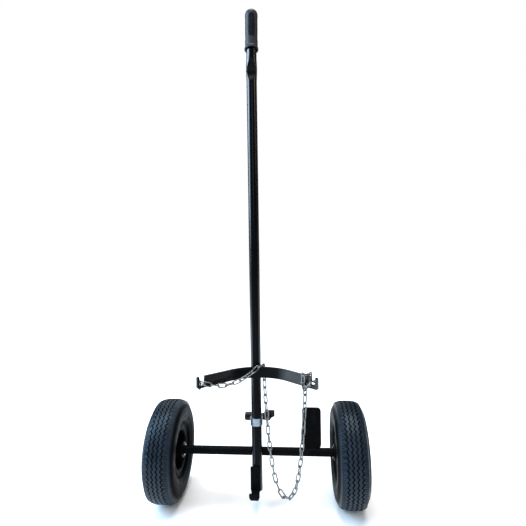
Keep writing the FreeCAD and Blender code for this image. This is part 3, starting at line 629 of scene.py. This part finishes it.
# ---------------------------------------------------------------- chain
wire_radius = 1.5 * MM
drawn_wire_radius = 1.7 * MM      # drawn a little thicker than in CAD, as the photo shows it
wire_set_back = Vector((0, drawn_wire_radius - wire_radius, 0))   # keeps the front where CAD has it
bow_radius = 4.5 * MM
bow_steps = 12
straight_shares = (0.3, 0.42, 0.5, 0.58, 0.7)   # places of the rings along a link's straight side
wire_sides = 12
weld_swelling = 1.09              # the wire's thickness at a link's weld, to its plain one
wire_smooth_angle = 60


def loose_parts(node):
    """Each closed shell of a node's mesh, as an array of points."""
    mesh = nodes[node].data
    work = bmesh.new()
    work.from_mesh(mesh)
    bmesh.ops.remove_doubles(work, verts=work.verts, dist=1e-6)
    unseen = set(work.verts)
    parts = []
    while unseen:
        stack = [min(unseen, key=lambda v: v.index)]
        unseen.discard(stack[0])
        part = []
        while stack:
            vertex = stack.pop()
            part.append(vertex.co.copy())
            for edge in vertex.link_edges:
                other = edge.other_vert(vertex)
                if other in unseen:
                    unseen.discard(other)
                    stack.append(other)
        parts.append(np.array([tuple(co) for co in part]))
    work.free()
    return parts


def main_directions(points):
    """Middle, long, wide and thin directions of a link, from its extreme points."""
    middle = (points.max(axis=0) + points.min(axis=0)) / 2
    for _ in range(2):
        offsets = points - middle
        _, _, ways = np.linalg.svd(offsets, full_matrices=False)
        along = offsets @ ways.T
        middle = middle + ((along.max(axis=0) + along.min(axis=0)) / 2) @ ways
    reach = (along.max(axis=0) - along.min(axis=0)) / 2
    return Vector(middle), [Vector(w) for w in ways], reach


def add_link(shape, points, rng):
    """One welded wire link in place of the plain one made of these points."""
    middle, (long_way, wide_way, thin_way), reach = main_directions(points)
    middle += wire_set_back
    half_straight = reach[0] - wire_radius - bow_radius
    path = []
    for end in (1, -1):
        for i in range(bow_steps + 1):
            angle = math.pi * (i / bow_steps - 0.5)
            u = end * (half_straight + bow_radius * math.cos(angle))
            v = end * bow_radius * math.sin(angle)
            out = (long_way * math.cos(angle) + wide_way * math.sin(angle)) * end
            path.append((middle + long_way * u + wide_way * v, out))
        for share in straight_shares:
            u = end * half_straight * (1 - 2 * share)
            path.append((middle + long_way * u + wide_way * end * bow_radius, wide_way * end))
    weld_side = rng.choice((0, 1))
    rings_each_half = bow_steps + 1 + len(straight_shares)
    weld_at = weld_side * rings_each_half + bow_steps + 1 + len(straight_shares) // 2
    rings = []
    for index, (centre, out) in enumerate(path):
        radius = drawn_wire_radius * (weld_swelling if index == weld_at else 1)
        rings.append(circle_of(centre, out, thin_way, radius, wire_sides))
    shape.add_rings(rings, closed_loop=True)


def chain(node, body):
    """A stretch of chain, every link drawn as bent and welded wire."""
    rng = random.Random(node)
    shape = Shape()
    for points in loose_parts(node):
        add_link(shape, points, rng)
    piece = shape.piece(f"{node}_welded", "chain_zinc", body, wire_smooth_angle)
    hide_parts(node)


# ---------------------------------------------------------------- welds
bead_step = 0.5 * MM              # between the rings of a bead
bead_sides = 10
bead_ripple_pitch = 2.2 * MM
bead_plain_share = 0.84           # a bead's plain thickness, ripple and unevenness, of its full size
bead_ripple_share = 0.14
bead_uneven_share = 0.03
bead_end_share = 0.35             # its thickness at the very end, and how fast it grows per ring
bead_growth = 0.22
bead_smooth_angle = 60

cradle_bead = 4.2 * MM
foot_bead = 4.0 * MM
axle_bead = 4.4 * MM
plate_bead = 3.6 * MM
pole_reach_share = 0.62           # how far a bead up the pole is from its middle, of its radius
cradle_bead_forward = 0.8 * MM    # how far a bead stands in front of the pole's surface
cradle_bead_end_gap = 1 * MM      # between a bead's ends and the ends of the piece
foot_reach_share = 0.95           # the foot's beads are closer together than the cradle's
foot_bead_forward = 0.6 * MM
foot_bead_low_gap = 4 * MM
foot_bead_high_gap = 3 * MM
axle_bead_half_angle = 52
axle_bead_steps = 14
axle_bead_side_share = 0.66       # its distance from the pole's middle, of the pole's radius
axle_bead_depth_share = 0.98      # it lies a little flatter than the axle tube is round
axle_bead_height_share = 1.02
axle_bead_forward = 0.8 * MM
plate_bead_off_middle = 3.1 * MM
plate_bead_end_gap = 9 * MM
plate_bead_sink = 0.4 * MM        # into the axle tube's top


def weld_bead(name, path, width):
    """A rippled bead laid along a path."""
    dense = []
    for start, end in zip(path, path[1:]):
        pieces = max(2, int((end - start).length / bead_step))
        dense += [start.lerp(end, i / pieces) for i in range(pieces)]
    dense.append(path[-1])
    rng = random.Random(name)
    rings = []
    travelled = 0.0
    for i, (point, (side, up)) in enumerate(zip(dense, frame_along(dense))):
        travelled += (point - dense[i - 1]).length if i else 0.0
        ripple = bead_ripple_share * abs(math.sin(math.pi * travelled / bead_ripple_pitch))
        to_end = min(i, len(dense) - 1 - i)
        taper = min(1.0, bead_end_share + to_end * bead_growth)
        uneven = rng.uniform(-bead_uneven_share, bead_uneven_share)
        radius = width / 2 * taper * (bead_plain_share + ripple + uneven)
        rings.append(circle_of(point, side, up, radius, bead_sides))
    shape = Shape()
    shape.add_rings(rings)
    piece = shape.piece(name, "black_paint", "frame", bead_smooth_angle)


def welds():
    """Beads where the cradle, the foot and the axle tube meet the pole, and along the plate."""
    reach = pole_radius * pole_reach_share
    gap_y = pole_y - math.sqrt(pole_radius ** 2 - reach ** 2)
    for side, name in ((-1, "left"), (1, "right")):
        path = [Vector((side * reach, gap_y - cradle_bead_forward, z))
                for z in (cradle_low.z + cradle_bead_end_gap, cradle_high.z - cradle_bead_end_gap)]
        weld_bead(f"cradle_weld_{name}", path, cradle_bead)
        foot_x = (foot_low.x + foot_high.x) / 2 + side * reach * foot_reach_share
        path = [Vector((foot_x, gap_y - foot_bead_forward, z))
                for z in (pole_bottom_z + foot_bead_low_gap, foot_high.z - foot_bead_high_gap)]
        weld_bead(f"foot_weld_{name}", path, foot_bead)
        path = []
        for i in range(axle_bead_steps + 1):
            angle = math.radians(axle_bead_half_angle * (2 * i / axle_bead_steps - 1))
            path.append(Vector((
                side * pole_radius * axle_bead_side_share,
                -axle_tube_radius * math.cos(angle) * axle_bead_depth_share - axle_bead_forward,
                axle_z + axle_tube_radius * math.sin(angle) * axle_bead_height_share,
            )))
        weld_bead(f"axle_weld_{name}", path, axle_bead)
        y = side * plate_bead_off_middle
        path = [Vector((x, y, axle_z + axle_tube_radius - plate_bead_sink))
                for x in (plate_low.x + plate_bead_end_gap, plate_high.x - plate_bead_end_gap)]
        weld_bead(f"plate_weld_{name}", path, plate_bead)


# ---------------------------------------------------------------- carried CAD nodes
# widths of the worn edges, in mm
bevelled = {
    "cradle_strip": 0.7, "foot_hook": 0.7, "kick_plate": 0.5, "clamp_band": 0.3,
    "thumb_knob": 0.9, "clamp_cap": 0.6, "axle_shaft": 0.3, "axle_washers": 0.25,
}
bevel_least_angle = 50            # edges sharper than this are worn
bevel_segments = 2


def dress_carried_nodes():
    """Materials on every CAD node, and worn edges on the plain-edged ones."""
    slots = {part["node"]: part["material_slot"] for part in frame["record"]["subparts"]}
    for name, node in nodes.items():
        plain_name = name.removeprefix("left_").removeprefix("right_")
        key = slots[name]
        if plain_name in dull_painted:
            key = "dull_paint"
        # the rim's bolts and nuts get the darkened zinc: painted shade
        elif plain_name in shade_darkened_plated:
            key = "dull_shaded_zinc"
        for material_slot in node.material_slots:
            material_slot.link = "OBJECT"
            material_slot.material = materials[key]
        if name in bevelled:
            bevel = node.modifiers.new("worn_edges", "BEVEL")
            bevel.width = bevelled[name] * MM
            bevel.segments = bevel_segments
            bevel.limit_method = "ANGLE"
            bevel.angle_limit = math.radians(bevel_least_angle)


# ---------------------------------------------------------------- stage, light, camera
floor_half_size = 12.0
seen_background = 1.0             # strength of what the camera sees, and of what lights the object
lit_background = 0.12
lit_background_colour = (0.88, 0.93, 1.0, 1)
light_target = (0, 0, 0.6)
sun_strength = 3.6
sun_softness = 40

camera_lens = 26.96
camera_place = (0.0987, -1.0487, 0.6362)
camera_yaw = 4.24
camera_pitch = 90 - 0.19
camera_roll = -0.83


def stage_floor():
    """A pale floor, reaching well past the picture."""
    n = Nodes("pale_floor")
    n.set(Base_Color=n.mix(n.noise(3), grey(0.86), grey(0.9)), Roughness=0.7)
    half = floor_half_size
    corners = [(-half, -half, 0), (half, -half, 0), (half, half, 0), (-half, half, 0)]
    mesh = bpy.data.meshes.new("floor")
    mesh.from_pydata(corners, [], [(0, 1, 2, 3)])
    mesh.materials.append(n.material)
    floor = bpy.data.objects.new("floor", mesh)
    bpy.context.scene.collection.objects.link(floor)


def area_light(name, place, size, power, colour=(1, 1, 1)):
    """A soft lamp that faces the object."""
    light = bpy.data.lights.new(name, "AREA")
    light.shape = "RECTANGLE"
    light.size, light.size_y = size
    light.energy = power
    light.color = colour
    lamp = bpy.data.objects.new(name, light)
    lamp.location = place
    lamp.rotation_euler = (Vector(light_target) - Vector(place)).to_track_quat("-Z", "Y").to_euler()
    bpy.context.scene.collection.objects.link(lamp)


def lights():
    """A large bluish window on the left, small warm and cool fills, and an overhead light."""
    area_light("window_left", (-2.5, -0.6, 2.1), (2.0, 2.6), 265, (0.56, 0.78, 1.0))
    area_light("soft_right", (2.8, -1.2, 2.3), (0.6, 1.6), 24, (1.0, 0.86, 0.68))
    area_light("front_high", (0.35, -3.3, 2.1), (1.4, 1.8), 45, (0.80, 0.88, 1.0))
    area_light("behind", (-0.8, 2.8, 2.0), (2.6, 1.8), 20)
    sun = bpy.data.lights.new("overhead", "SUN")
    sun.energy = sun_strength
    sun.angle = math.radians(sun_softness)
    bpy.context.scene.collection.objects.link(bpy.data.objects.new("overhead", sun))


def world():
    """White behind the object, a dimmer grey for what lights and mirrors in it."""
    scene_world = bpy.data.worlds.new("studio")
    scene_world.use_nodes = True
    tree = scene_world.node_tree
    seen = tree.nodes["Background"]
    seen.inputs["Color"].default_value = grey(1.0)
    seen.inputs["Strength"].default_value = seen_background
    lit = tree.nodes.new("ShaderNodeBackground")
    lit.inputs["Color"].default_value = lit_background_colour
    lit.inputs["Strength"].default_value = lit_background
    path = tree.nodes.new("ShaderNodeLightPath")
    choose = tree.nodes.new("ShaderNodeMixShader")
    tree.links.new(path.outputs["Is Camera Ray"], choose.inputs["Fac"])
    tree.links.new(lit.outputs[0], choose.inputs[1])
    tree.links.new(seen.outputs[0], choose.inputs[2])
    tree.links.new(choose.outputs[0], tree.nodes["World Output"].inputs["Surface"])
    bpy.context.scene.world = scene_world


def camera():
    """The photo's place, angle and lens, as fitted to its edges."""
    data = bpy.data.cameras.new("camera")
    data.lens = camera_lens
    data.sensor_width = 36
    data.clip_start = 0.01
    eye = bpy.data.objects.new("camera", data)
    eye.location = camera_place
    turned = Matrix.Rotation(math.radians(camera_yaw), 4, "Z")
    raised = Matrix.Rotation(math.radians(camera_pitch), 4, "X")
    rolled = Matrix.Rotation(math.radians(camera_roll), 4, "Z")
    eye.rotation_euler = (turned @ raised @ rolled).to_euler()
    bpy.context.scene.collection.objects.link(eye)
    bpy.context.scene.camera = eye
    bpy.context.scene.view_settings.view_transform = "Standard"


dress_carried_nodes()
tyre("left", -wheel_x)
tyre("right", wheel_x)
pole()
grip()
for front_node in ("chain_front_run", "chain_edge_link", "chain_tail", "chain_end_loop"):
    chain(front_node, "frame")
chain("chain_hanging_loop", "chain_loop")
welds()
stage_floor()
lights()
world()
camera()
